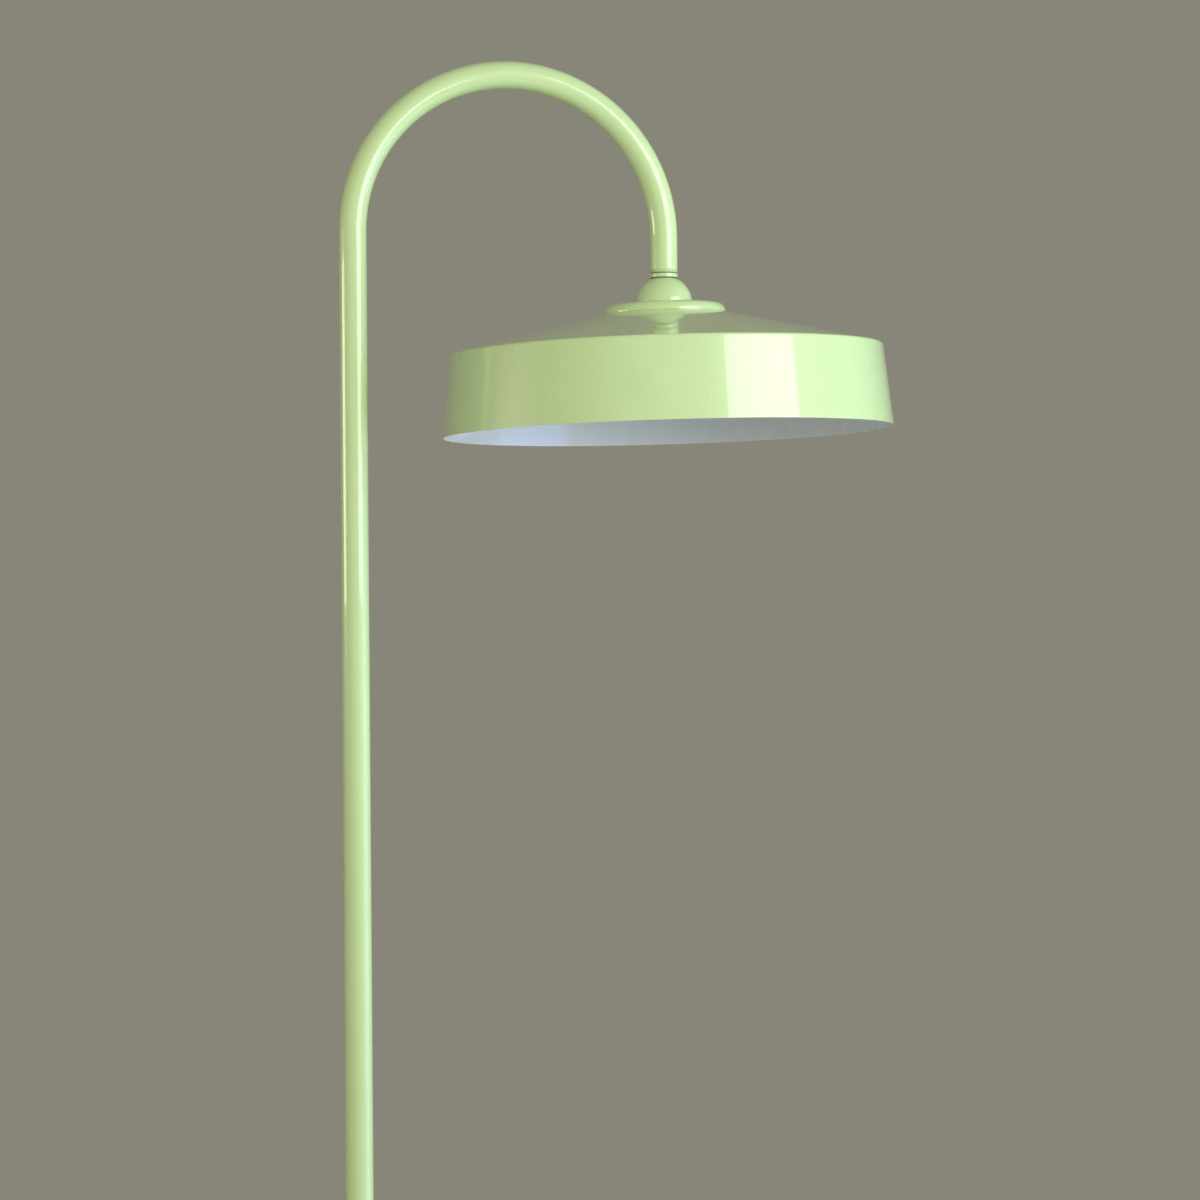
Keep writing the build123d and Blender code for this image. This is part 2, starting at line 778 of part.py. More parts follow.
with BuildPart() as shade:
    with BuildSketch(head_section):
        with BuildLine():
            skin = FilletPolyline(
                (neck_radius + shade_play, shade_seat),
                (shade_flat_radius, shade_seat),
                (shoulder_radius, shoulder_height),
                (rim_radius, rim_height),
                radius=shoulder_rounding,
            )
            offset(skin, amount=shade_wall, side=Side.RIGHT)
        make_face()
    revolve(axis=head_axis)
save(shade, "shade")

shade_ring_foot = head_level(shade_under - shade_ring_height)
shade_ring = ring(shade_ring_radius, neck_radius, shade_ring_foot, shade_ring_height)
save(shade_ring, "shade_ring")

# ======== Lamp holder and bulb ========

nipple_length = pivot_height - nipple_top - cap_inside
holder_nipple = ring(stem_radius, stem_bore, head_level(cap_inside), nipple_length)
save(holder_nipple, "holder_nipple")

nipple_nut_foot = head_level(shade_seat - nipple_nut_height)
nipple_nut = hex_nut(nipple_nut_flats, stem_radius, nipple_nut_foot, nipple_nut_height)
save(nipple_nut, "nipple_nut")

with BuildPart() as holder_cap:
    with BuildSketch(head_level(cap_top - holder_cap_height)):
        Circle(holder_cap_radius)
    extrude(amount=holder_cap_height)
    fillet(holder_cap.edges().group_by(Axis.Z)[-1], radius=holder_cap_top * 0.8)
    with BuildSketch(head_level(cap_top - holder_cap_height)):
        Circle(holder_radius)
    extrude(amount=holder_cap_height - holder_cap_top, mode=Mode.SUBTRACT)
    with BuildSketch(head_level(cap_inside)):
        Circle(stem_radius)
    extrude(amount=holder_cap_top, mode=Mode.SUBTRACT)
save(holder_cap, "holder_cap")

with BuildPart() as holder_body:
    with BuildSketch(head_level(holder_foot)):
        Circle(holder_radius)
    extrude(amount=holder_body_length)
    fillet(holder_body.edges().group_by(Axis.Z)[0], radius=1.0)
    with BuildSketch(head_level(holder_foot)):
        Circle(shell_radius)
    extrude(amount=holder_body_length - holder_floor, mode=Mode.SUBTRACT)
save(holder_body, "holder_body")

holder_shell = ring(
    shell_radius, bulb_cap_radius, head_level(shell_top - shell_length), shell_length
)
save(holder_shell, "holder_shell")

holder_contact = ring(
    contact_radius, 0, head_level(holder_ceiling - contact_height), contact_height
)
save(holder_contact, "holder_contact")

with BuildPart() as bulb_cap:
    with BuildSketch(head_level(bulb_cap_foot)):
        Circle(bulb_cap_radius)
    extrude(amount=bulb_cap_length)
    chamfer(bulb_cap.edges().group_by(Axis.Z)[-1], length=2.5)
    with BuildSketch(head_level(bulb_cap_top)):
        Circle(bulb_tip_radius)
    extrude(amount=bulb_tip_height)
save(bulb_cap, "bulb_cap")

# The globe is a ball with a short straight neck, open where the cap closes it.
with BuildPart() as bulb_globe:
    with BuildSketch(head_section):
        for wall, mode in ((0, Mode.ADD), (bulb_wall, Mode.SUBTRACT)):
            with Locations((0, bulb_middle)):
                Circle(bulb_radius - wall, mode=mode)
            with Locations((0, bulb_middle)):
                Rectangle(
                    bulb_neck_radius - wall,
                    bulb_cap_foot - bulb_middle,
                    align=(Align.MIN, Align.MIN),
                    mode=mode,
                )
        with Locations((0, bulb_middle)):
            Rectangle(
                bulb_radius,
                bulb_radius + bulb_cap_foot - bulb_middle,
                align=(Align.MIN, Align.CENTER),
                mode=Mode.INTERSECT,
            )
    revolve(axis=head_axis)
save(bulb_globe, "bulb_globe")

head_lead_length = pivot_height - lead_parting - cap_inside
head_lead = ring(lead_radius, 0, head_level(cap_inside), head_lead_length)
save(head_lead, "head_lead")
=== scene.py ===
import json
import math

import bmesh
import bpy
from mathutils import Matrix, Vector


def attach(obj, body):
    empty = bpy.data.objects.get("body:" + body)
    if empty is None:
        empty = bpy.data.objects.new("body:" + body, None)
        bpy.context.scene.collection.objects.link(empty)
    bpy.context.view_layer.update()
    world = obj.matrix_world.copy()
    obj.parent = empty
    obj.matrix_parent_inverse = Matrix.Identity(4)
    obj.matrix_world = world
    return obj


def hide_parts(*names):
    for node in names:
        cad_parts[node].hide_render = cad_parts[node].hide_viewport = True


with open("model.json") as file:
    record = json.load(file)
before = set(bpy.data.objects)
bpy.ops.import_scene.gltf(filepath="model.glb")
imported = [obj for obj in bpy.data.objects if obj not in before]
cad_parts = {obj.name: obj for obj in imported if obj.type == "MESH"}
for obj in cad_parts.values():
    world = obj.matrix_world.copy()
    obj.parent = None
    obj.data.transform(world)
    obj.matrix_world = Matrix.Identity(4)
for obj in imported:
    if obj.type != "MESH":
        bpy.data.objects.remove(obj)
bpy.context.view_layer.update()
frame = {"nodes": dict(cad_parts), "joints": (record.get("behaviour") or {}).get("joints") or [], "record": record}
mm = 0.001

print("stage: helpers")


def addObject(name, data):
    made = bpy.data.objects.new(name, data)
    bpy.context.scene.collection.objects.link(made)
    return made


def meshFrom(shape, name):
    mesh = bpy.data.meshes.new(name)
    shape.to_mesh(mesh)
    shape.free()
    return mesh


# ---- colours and shader nodes ----

def linearColour(hexText):
    channels = []
    for place in (0, 2, 4):
        value = int(hexText[place:place + 2], 16) / 255
        channels.append(value / 12.92 if value <= 0.04045 else ((value + 0.055) / 1.055) ** 2.4)
    return (*channels, 1.0)


def addNode(tree, kind, settings=None, inputs=None):
    node = tree.nodes.new(kind)
    for key, value in (settings or {}).items():
        setattr(node, key, value)
    for key, value in (inputs or {}).items():
        socket = node.inputs[key]
        if isinstance(value, bpy.types.NodeSocket):
            tree.links.new(value, socket)
        else:
            socket.default_value = value
    return node


def startMaterial(name):
    material = bpy.data.materials.new(name)
    material.use_nodes = True
    tree = material.node_tree
    tree.nodes.clear()
    output = addNode(tree, "ShaderNodeOutputMaterial")
    shader = addNode(tree, "ShaderNodeBsdfPrincipled")
    tree.links.new(shader.outputs["BSDF"], output.inputs["Surface"])
    place = addNode(tree, "ShaderNodeTexCoord").outputs["Object"]
    return material, tree, shader, place


def noisePattern(tree, place, sizeMm, detail=2.0, stretch=(1, 1, 1)):
    # a soft random pattern whose blobs are about sizeMm across
    mapped = addNode(
        tree, "ShaderNodeMapping", {}, {"Vector": place, "Scale": stretch}
    ).outputs["Vector"]
    scale = 1 / (sizeMm * mm)
    return addNode(
        tree, "ShaderNodeTexNoise", {}, {"Vector": mapped, "Scale": scale, "Detail": detail}
    ).outputs["Fac"]


def mixedColour(tree, factor, first, second):
    node = addNode(tree, "ShaderNodeMix", {"data_type": "RGBA"})
    tree.links.new(factor, node.inputs[0])
    node.inputs[6].default_value = linearColour(first)
    node.inputs[7].default_value = linearColour(second)
    return node.outputs[2]


def bumpFrom(tree, height, depthMm, strength=1.0):
    return addNode(
        tree,
        "ShaderNodeBump",
        {},
        {"Height": height, "Distance": depthMm * mm, "Strength": strength},
    ).outputs["Normal"]


def between(tree, factor, low, high):
    # turns a 0 to 1 pattern into a value from low to high
    return addNode(
        tree, "ShaderNodeMapRange", {}, {"Value": factor, "To Min": low, "To Max": high}
    ).outputs["Result"]


# ---- materials ----

def sprayedLacquer(name, fresh, shaded):
    # Stoved gloss enamel, sprayed on steel. The thick clear top gives sharp mirror reflections
    # with a faint orange-peel ripple, and a polish haze makes some places a little less glossy.
    material, tree, shader, place = startMaterial(name)
    haze = noisePattern(tree, place, 55, 3.0)
    peel = noisePattern(tree, place, 2.6, 1.0)
    wave = noisePattern(tree, place, 14, 1.0)
    ripple = addNode(
        tree,
        "ShaderNodeMath",
        {"operation": "MULTIPLY_ADD"},
        {0: wave, 1: 3.0, 2: peel},
    ).outputs["Value"]
    tree.links.new(mixedColour(tree, haze, fresh, shaded), shader.inputs["Base Color"])
    tree.links.new(between(tree, haze, 0.22, 0.34), shader.inputs["Roughness"])
    tree.links.new(bumpFrom(tree, ripple, 0.0035), shader.inputs["Normal"])
    shader.inputs["IOR"].default_value = 1.5
    shader.inputs["Coat Weight"].default_value = 1.0
    shader.inputs["Coat Roughness"].default_value = 0.05
    shader.inputs["Coat IOR"].default_value = 1.52
    return material


def mouldedPlastic(name, colour, worn, roughness, grainMm, depthMm=0.01):
    # Injection-moulded nylon or phenolic. The spark-eroded mould leaves a fine even grain that
    # breaks highlights up, with a faint cloudiness where the melt met.
    material, tree, shader, place = startMaterial(name)
    cloud = noisePattern(tree, place, 12, 2.0)
    grain = noisePattern(tree, place, grainMm, 2.0)
    tree.links.new(mixedColour(tree, cloud, colour, worn), shader.inputs["Base Color"])
    duller = between(tree, cloud, roughness, roughness + 0.12)
    tree.links.new(duller, shader.inputs["Roughness"])
    tree.links.new(bumpFrom(tree, grain, depthMm), shader.inputs["Normal"])
    shader.inputs["IOR"].default_value = 1.5
    return material


def platedMetal(name, colour, dull, roughness, stretch=(1, 1, 1)):
    # Turned or pressed metal with a bright plate. Fine tool marks stretch the highlights and
    # patches of handling leave it duller in places.
    material, tree, shader, place = startMaterial(name)
    patch = noisePattern(tree, place, 7, 3.0)
    marks = noisePattern(tree, place, 0.5, 2.0, stretch)
    tree.links.new(mixedColour(tree, patch, colour, dull), shader.inputs["Base Color"])
    duller = between(tree, patch, roughness, roughness + 0.18)
    tree.links.new(duller, shader.inputs["Roughness"])
    tree.links.new(bumpFrom(tree, marks, 0.01), shader.inputs["Normal"])
    shader.inputs["Metallic"].default_value = 1.0
    return material


def castIron(name):
    # Sand-cast grey iron under a black primer. The sand leaves a coarse pitted skin.
    material, tree, shader, place = startMaterial(name)
    sand = noisePattern(tree, place, 1.6, 4.0)
    stain = noisePattern(tree, place, 30, 3.0)
    tree.links.new(mixedColour(tree, stain, "2b2b2d", "3a3836"), shader.inputs["Base Color"])
    tree.links.new(between(tree, sand, 0.55, 0.8), shader.inputs["Roughness"])
    tree.links.new(bumpFrom(tree, sand, 0.25), shader.inputs["Normal"])
    return material


def pressedFelt(name):
    # Pressed wool felt. Matted fibres make a dense nap that scatters light at the edges.
    material, tree, shader, place = startMaterial(name)
    fibres = noisePattern(tree, place, 0.9, 6.0, (1, 3, 1))
    clumps = noisePattern(tree, place, 6, 3.0)
    tree.links.new(mixedColour(tree, clumps, "232427", "33343a"), shader.inputs["Base Color"])
    tree.links.new(bumpFrom(tree, fibres, 0.3), shader.inputs["Normal"])
    shader.inputs["Roughness"].default_value = 0.95
    shader.inputs["Sheen Weight"].default_value = 0.4
    shader.inputs["Sheen Roughness"].default_value = 0.5
    return material


def opalGlass(name):
    # Acid-etched opal glass. A milky body spreads the light under a satin skin.
    material, tree, shader, place = startMaterial(name)
    swirl = noisePattern(tree, place, 18, 2.0)
    tree.links.new(mixedColour(tree, swirl, "f4f2ec", "e9e7e0"), shader.inputs["Base Color"])
    tree.links.new(between(tree, swirl, 0.22, 0.34), shader.inputs["Roughness"])
    shader.inputs["IOR"].default_value = 1.52
    shader.inputs["Subsurface Weight"].default_value = 0.4
    shader.inputs["Subsurface Radius"].default_value = (0.004, 0.004, 0.003)
    return material


print("stage: materials")
greenLacquer = sprayedLacquer("stovedGreenLacquer", "c6dfa7", "c0daa0")
whiteLacquer = sprayedLacquer("stovedWhiteLacquer", "eef2f7", "e6ecf3")
blackNylon = mouldedPlastic("mouldedBlackNylon", "1c1d1f", "26272a", 0.42, 0.6)
greyNylon = mouldedPlastic("mouldedGreyNylon", "4a4d46", "54574f", 0.40, 0.6)
naturalNylon = mouldedPlastic("mouldedNaturalNylon", "dcd8cc", "cfcaba", 0.40, 0.8)
blackPlastic = mouldedPlastic("satinBlackMoulding", "17181a", "1f2023", 0.25, 0.7)
whitePhenolic = mouldedPlastic("whitePhenolicMoulding", "e3e0d8", "d8d4ca", 0.30, 0.9)
blackRubber = mouldedPlastic("mouldedRubber", "1a1a1b", "222223", 0.65, 1.2, 0.03)
leadSheath = mouldedPlastic("extrudedLeadSheath", "d6d5d0", "c8c7c1", 0.45, 1.5, 0.02)
zincPlate = platedMetal("brightZincPlate", "c9ccd0", "a9acb2", 0.22)
springSteel = platedMetal("blueTemperedSteel", "6d7076", "54575e", 0.25)
pressedBrass = platedMetal("pressedBrass", "d8b96a", "b8974c", 0.22)
primedIron = castIron("primedCastIron")
woolFelt = pressedFelt("pressedWoolFelt")
etchedGlass = opalGlass("etchedOpalGlass")

finishOfSlot = {
    "green_lacquer": greenLacquer,
    "shade_lacquer": greenLacquer,
    "base_iron": primedIron,
    "felt": woolFelt,
    "zinc_steel": zincPlate,
    "spring_steel": springSteel,
    "black_nylon": blackNylon,
    "white_nylon": naturalNylon,
    "black_plastic": blackPlastic,
    "holder_plastic": whitePhenolic,
    "rubber": blackRubber,
    "lead_sheath": leadSheath,
    "brass": pressedBrass,
    "bulb_glass": etchedGlass,
}
slotOfNode = {entry["node"]: entry["material_slot"] for entry in frame["record"]["subparts"]}
for nodeName, nodeObject in frame["nodes"].items():
    finish = finishOfSlot[slotOfNode[nodeName]]
    for materialSlot in nodeObject.material_slots:
        materialSlot.material = finish

# ---- where the turned pieces stand ----

jointPlace = {
    joint["name"]: Vector(joint["pos_m"]) for joint in frame["joints"] if "pos_m" in joint
}
tubeEnd = jointPlace["head_swivel"]
ballCentre = jointPlace["shade_tilt"]
headLean = 1.3  # degrees, the pole's side of the shade hanging lower

onFloor = Matrix.Identity(4)
onArmEnd = Matrix.Translation(ballCentre)
onHead = onArmEnd @ Matrix.Rotation(math.radians(-headLean), 4, "Y")


# ---- turned meshes ----

def roundedOutline(corners, arcSteps=8):
    # corners are (radius, height, rounding) in mm; a support point stands by each rounding so
    # that flat faces keep a true normal
    outline = []
    count = len(corners)
    for index, (x, z, rounding) in enumerate(corners):
        here = Vector((x, z))
        if rounding <= 0:
            outline.append(here)
            continue
        before = Vector(corners[index - 1][:2]) - here
        after = Vector(corners[(index + 1) % count][:2]) - here
        halfAngle = before.angle(after) / 2
        setback = rounding / math.tan(halfAngle)
        start = here + before.normalized() * setback
        end = here + after.normalized() * setback
        centre = here + (before.normalized() + after.normalized()).normalized() * (
            rounding / math.sin(halfAngle)
        )
        support = min(0.35, rounding * 0.4)
        if before.length - setback > support * 2:
            outline.append(start + before.normalized() * support)
        first = start - centre
        last = end - centre
        sweep = first.angle_signed(last)
        for step in range(arcSteps + 1):
            turn = -sweep * step / arcSteps
            outline.append(
                centre
                + Vector((
                    first.x * math.cos(turn) - first.y * math.sin(turn),
                    first.x * math.sin(turn) + first.y * math.cos(turn),
                ))
            )
        if after.length - setback > support * 2:
            outline.append(end + after.normalized() * support)
    return [(point.x, point.y) for point in outline]


def arcPoints(radius, fromDegrees, toDegrees, steps):
    # points on a circle about the ball's centre, angles up from the level
    points = []
    for step in range(steps + 1):
        turn = math.radians(fromDegrees + (toDegrees - fromDegrees) * step / steps)
        points.append((radius * math.cos(turn), radius * math.sin(turn)))
    return points


def finishMesh(name, mesh, body, nodes, materials):
    piece = addObject(name, mesh)
    mesh.materials.clear()
    for material in materials:
        mesh.materials.append(material)
    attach(piece, body)
    if nodes:
        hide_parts(*nodes)
    return piece


def smoothMesh(mesh, sharpDegrees=35):
    mesh.shade_smooth()
    mesh.set_sharp_from_angle(angle=math.radians(sharpDegrees))


def turnedMesh(name, outline, steps, place):
    # turns a closed outline in mm about the piece's own axis
    shape = bmesh.new()
    rings = []
    for radius, height in outline:
        ring = []
        for step in range(1 if radius < 1e-6 else steps):
            turn = math.tau * step / steps
            ring.append(
                shape.verts.new((
                    radius * mm * math.cos(turn),
                    radius * mm * math.sin(turn),
                    height * mm,
                ))
            )
        rings.append(ring)
    for low, high in zip(rings, rings[1:] + rings[:1]):
        if len(low) == 1 and len(high) == 1:
            continue
        for step in range(steps):
            after = (step + 1) % steps
            if len(low) == 1:
                shape.faces.new((low[0], high[after], high[step]))
            elif len(high) == 1:
                shape.faces.new((low[step], low[after], high[0]))
            else:
                shape.faces.new((low[step], low[after], high[after], high[step]))
    bmesh.ops.remove_doubles(shape, verts=shape.verts, dist=1e-7)
    bmesh.ops.recalc_face_normals(shape, faces=shape.faces)
    shape.transform(place)
    mesh = meshFrom(shape, name)
    smoothMesh(mesh)
    return mesh


def cutMesh(mesh, cutters):
    # takes each cutter mesh out of the mesh
    blank = addObject("blank", mesh)
    tools = []
    for cutter in cutters:
        tool = addObject("cutter", cutter)
        tools.append(tool)
        cut = blank.modifiers.new("cut", "BOOLEAN")
        cut.operation = "DIFFERENCE"
        cut.solver = "EXACT"
        cut.object = tool
    bpy.context.view_layer.update()
    result = bpy.data.meshes.new_from_object(
        blank.evaluated_get(bpy.context.evaluated_depsgraph_get())
    )
    for helper in [blank, *tools]:
        bpy.data.objects.remove(helper)
    smoothMesh(result)
    return result


def pinMesh(name, radius, length, steps, place=onFloor):
    # an upright pin about its own middle, radius in mm and length in metres
    shape = bmesh.new()
    bmesh.ops.create_cone(
        shape, cap_ends=True, segments=steps, radius1=radius * mm, radius2=radius * mm,
        depth=length, matrix=place,
    )
    return meshFrom(shape, name)


def rodMesh(radius, start, end, steps=64):
    # a plain cutter rod between two points in metres
    axis = Vector(end) - Vector(start)
    middle = (Vector(start) + Vector(end)) / 2
    turn = axis.to_track_quat("Z", "Y").to_matrix().to_4x4()
    return pinMesh("rod", radius, axis.length, steps, Matrix.Translation(middle) @ turn)


# ---- geometry nodes ----

def startTree(name, inputs):
    # inputs are (name, socket type) pairs; returns the tree, its input sockets and its output
    tree = bpy.data.node_groups.new(name, "GeometryNodeTree")
    for inputName, kind in inputs:
        tree.interface.new_socket(name=inputName, in_out="INPUT", socket_type=kind)
    tree.interface.new_socket(
        name="Geometry", in_out="OUTPUT", socket_type="NodeSocketGeometry"
    )
    return tree, addNode(tree, "NodeGroupInput").outputs, addNode(tree, "NodeGroupOutput")


def sums(tree, operation, first, second=0.0, third=0.0):
    return addNode(
        tree, "ShaderNodeMath", {"operation": operation}, {0: first, 1: second, 2: third}
    ).outputs["Value"]


def endTree(tree, output, geometry, finish):
    real = addNode(tree, "GeometryNodeRealizeInstances", {}, {"Geometry": geometry})
    dressed = addNode(
        tree, "GeometryNodeSetMaterial", {},
        {"Geometry": real.outputs["Geometry"], "Material": finish},
    )
    tree.links.new(dressed.outputs["Geometry"], output.inputs["Geometry"])


def grownMesh(tree, values, place=onFloor):
    # runs a tree with these input values and keeps the result as a plain mesh
    seed = addObject("seed", bpy.data.meshes.new("seed"))
    growth = seed.modifiers.new("growth", "NODES")
    growth.node_group = tree
    for socket in tree.interface.items_tree:
        if socket.in_out == "INPUT":
            growth[socket.identifier] = values[socket.name]
    bpy.context.view_layer.update()
    mesh = bpy.data.meshes.new_from_object(
        seed.evaluated_get(bpy.context.evaluated_depsgraph_get())
    )
    bpy.data.objects.remove(seed)
    mesh.transform(place)
    smoothMesh(mesh)
    return mesh


def hookTree():
    # a tube that goes straight up, over in a half circle and straight down
    tree, values, output = startTree("hookTube", (
        ("Foot", "NodeSocketFloat"), ("Spring Line", "NodeSocketFloat"),
        ("Bow Radius", "NodeSocketFloat"), ("Drop", "NodeSocketFloat"),
        ("Tube Radius", "NodeSocketFloat"), ("Along", "NodeSocketInt"),
        ("Around", "NodeSocketInt"), ("Finish", "NodeSocketMaterial"),
    ))
    bow = values["Bow Radius"]
    rise = sums(tree, "SUBTRACT", values["Spring Line"], values["Foot"])
    halfTurn = sums(tree, "MULTIPLY", bow, math.pi)
    length = sums(tree, "ADD", sums(tree, "ADD", rise, halfTurn), values["Drop"])
    top = addNode(tree, "ShaderNodeCombineXYZ", {}, {"Z": length}).outputs["Vector"]
    line = addNode(tree, "GeometryNodeCurvePrimitiveLine", {}, {"End": top})
    points = addNode(
        tree, "GeometryNodeResampleCurve", {},
        {"Curve": line.outputs["Curve"], "Count": values["Along"]},
    )
    position = addNode(tree, "GeometryNodeInputPosition").outputs["Position"]
    travel = addNode(tree, "ShaderNodeSeparateXYZ", {}, {"Vector": position}).outputs["Z"]
    past = sums(tree, "SUBTRACT", travel, rise)
    turn = sums(tree, "DIVIDE", past, bow)
    turn = sums(tree, "MINIMUM", sums(tree, "MAXIMUM", turn, 0.0), math.pi)
    along = sums(tree, "MULTIPLY", bow, sums(tree, "SUBTRACT", 1.0, sums(tree, "COSINE", turn)))
    height = sums(tree, "ADD", values["Foot"], sums(tree, "MINIMUM", travel, rise))
    height = sums(tree, "MULTIPLY_ADD", bow, sums(tree, "SINE", turn), height)
    fall = sums(tree, "MAXIMUM", sums(tree, "SUBTRACT", past, halfTurn), 0.0)
    height = sums(tree, "SUBTRACT", height, fall)
    bent = addNode(
        tree, "ShaderNodeCombineXYZ", {}, {"X": along, "Z": height}
    ).outputs["Vector"]
    route = addNode(
        tree, "GeometryNodeSetPosition", {},
        {"Geometry": points.outputs["Curve"], "Position": bent},
    )
    section = addNode(
        tree, "GeometryNodeCurvePrimitiveCircle", {},
        {"Resolution": values["Around"], "Radius": values["Tube Radius"]},
    )
    tube = addNode(
        tree, "GeometryNodeCurveToMesh", {},
        {"Curve": route.outputs["Geometry"], "Profile Curve": section.outputs["Curve"]},
    )
    endTree(tree, output, tube.outputs["Mesh"], values["Finish"])
    return tree


def ringTree():
    # copies of one small piece, evenly spaced on a circle and turned with it
    tree, values, output = startTree("ringOfCopies", (
        ("Copy", "NodeSocketObject"), ("Count", "NodeSocketInt"),
        ("Circle Radius", "NodeSocketFloat"), ("Height", "NodeSocketFloat"),
        ("First Angle", "NodeSocketFloat"), ("Finish", "NodeSocketMaterial"),
    ))
    points = addNode(tree, "GeometryNodePoints", {}, {"Count": values["Count"]})
    index = addNode(tree, "GeometryNodeInputIndex").outputs["Index"]
    pitch = sums(tree, "DIVIDE", math.tau, values["Count"])
    turn = sums(tree, "MULTIPLY_ADD", index, pitch, values["First Angle"])
    place = addNode(
        tree, "ShaderNodeCombineXYZ", {},
        {
            "X": sums(tree, "MULTIPLY", values["Circle Radius"], sums(tree, "COSINE", turn)),
            "Y": sums(tree, "MULTIPLY", values["Circle Radius"], sums(tree, "SINE", turn)),
            "Z": values["Height"],
        },
    ).outputs["Vector"]
    placed = addNode(
        tree, "GeometryNodeSetPosition", {},
        {"Geometry": points.outputs["Points"], "Position": place},
    )
    copy = addNode(tree, "GeometryNodeObjectInfo", {}, {"Object": values["Copy"]})
    facing = addNode(tree, "ShaderNodeCombineXYZ", {}, {"Z": turn}).outputs["Vector"]
    copies = addNode(
        tree, "GeometryNodeInstanceOnPoints", {},
        {
            "Points": placed.outputs["Geometry"],
            "Instance": copy.outputs["Geometry"],
            "Rotation": facing,
        },
    )
    endTree(tree, output, copies.outputs["Instances"], values["Finish"])
    return tree


hookTube = hookTree()
ringOfCopies = ringTree()


def ringMesh(copyMesh, count, circleRadius, height, firstAngle, finish, place):
    sample = addObject("sample", copyMesh)
    mesh = grownMesh(ringOfCopies, {
        "Copy": sample, "Count": count, "Circle Radius": circleRadius * mm,
        "Height": height * mm, "First Angle": math.radians(firstAngle), "Finish": finish,
    }, place)
    bpy.data.objects.remove(sample)
    return mesh


def joinMeshes(name, meshes):
    shape = bmesh.new()
    for mesh in meshes:
        shape.from_mesh(mesh)
    joined = meshFrom(shape, name)
    smoothMesh(joined)
    return joined


# ---- pole and arm ----

print("stage: pole and arm")
hook = {
    "tubeRadius": 14.0,
    "wall": 1.5,
    "poleFoot": 25.5,
    "split": 600.0,
    "springLine": 1674.0,
    "bowRadius": 162.0,
    "along": 300,
    "around": 72,
}
armMesh = grownMesh(hookTube, {
    "Foot": hook["split"] * mm, "Spring Line": hook["springLine"] * mm,
    "Bow Radius": hook["bowRadius"] * mm, "Drop": hook["springLine"] * mm - tubeEnd.z,
    "Tube Radius": hook["tubeRadius"] * mm, "Along": hook["along"], "Around": hook["around"],
    "Finish": greenLacquer,
})
armTube = finishMesh("hookTube", armMesh, "arm", ["arm_tube"], [greenLacquer])
tubeWall = armTube.modifiers.new("wall", "SOLIDIFY")
tubeWall.thickness = hook["wall"] * mm
tubeWall.offset = -1

poleWall = hook["tubeRadius"] - hook["wall"]
lowerPole = turnedMesh("poleTube", roundedOutline([
    (hook["tubeRadius"], hook["poleFoot"], 0.3), (hook["tubeRadius"], hook["split"], 0),
    (poleWall, hook["split"], 0), (poleWall, hook["poleFoot"], 0),
]), hook["around"], onFloor)
finishMesh("poleTube", lowerPole, "arm", ["lower_pole"], [greenLacquer])


# ---- swivel at the arm's end ----

print("stage: swivel")
swivel = {
    "tubeRadius": 14.0,
    "washerRadius": 13.6,
    "washerHeight": 0.9,
    "ringHeight": 3.9,
    "edge": 0.45,
    "seatRadius": 12.0,
    "seatPlay": 0.3,
    "stem": 5.0,
    "playRadius": 29.3,
    "domeRadius": 29.0,
    "domeBore": 27.0,
    "flangeRadius": 15.0,
    "flangeHeight": 2.5,
    "slotEnd": 36.5,
    "slotRadius": 5.9,
    "slotHeights": (9, 36),
    "slotSteps": 32,
    "steps": 128,
    "domeSteps": 192,
}
endAbove = (tubeEnd.z - ballCentre.z) / mm
ringTop = endAbove - swivel["washerHeight"]
ringFoot = ringTop - swivel["ringHeight"]

washerMesh = turnedMesh("swivelWasher", roundedOutline([
    (swivel["washerRadius"], ringTop, 0.2), (swivel["washerRadius"], endAbove, 0.2),
    (swivel["stem"], endAbove, 0), (swivel["stem"], ringTop, 0),
]), swivel["steps"], onArmEnd)
finishMesh("swivelWasher", washerMesh, "knuckle", ["upper_washer"], [greyNylon])

seatInside = math.degrees(math.asin(ringFoot / swivel["playRadius"]))
hubInside = math.degrees(math.acos(swivel["stem"] / swivel["playRadius"]))
ringOutline = roundedOutline([
    (swivel["stem"], ringTop, 0), (swivel["tubeRadius"], ringTop, swivel["edge"]),
    (swivel["tubeRadius"], ringFoot, swivel["edge"]), (swivel["seatRadius"], ringFoot, 0),
]) + arcPoints(swivel["playRadius"], seatInside, hubInside, 6)
ringPiece = turnedMesh("swivelRing", ringOutline, swivel["steps"], onArmEnd)
finishMesh("swivelRing", ringPiece, "knuckle", ["swivel_ring"], [greenLacquer])

washerEdge = math.degrees(math.acos(swivel["washerRadius"] / swivel["playRadius"]))
seatTop = math.degrees(math.asin((ringFoot - swivel["seatPlay"]) / swivel["playRadius"]))
seatOutline = [
    (swivel["playRadius"] * math.cos(math.radians(seatTop)), ringFoot),
    (swivel["washerRadius"], ringFoot),
] + arcPoints(swivel["playRadius"], washerEdge, seatTop, 6)
seatMesh = turnedMesh("dishedWasher", seatOutline, swivel["steps"], onArmEnd)
finishMesh("dishedWasher", seatMesh, "knuckle", ["lower_washer"], [greyNylon])

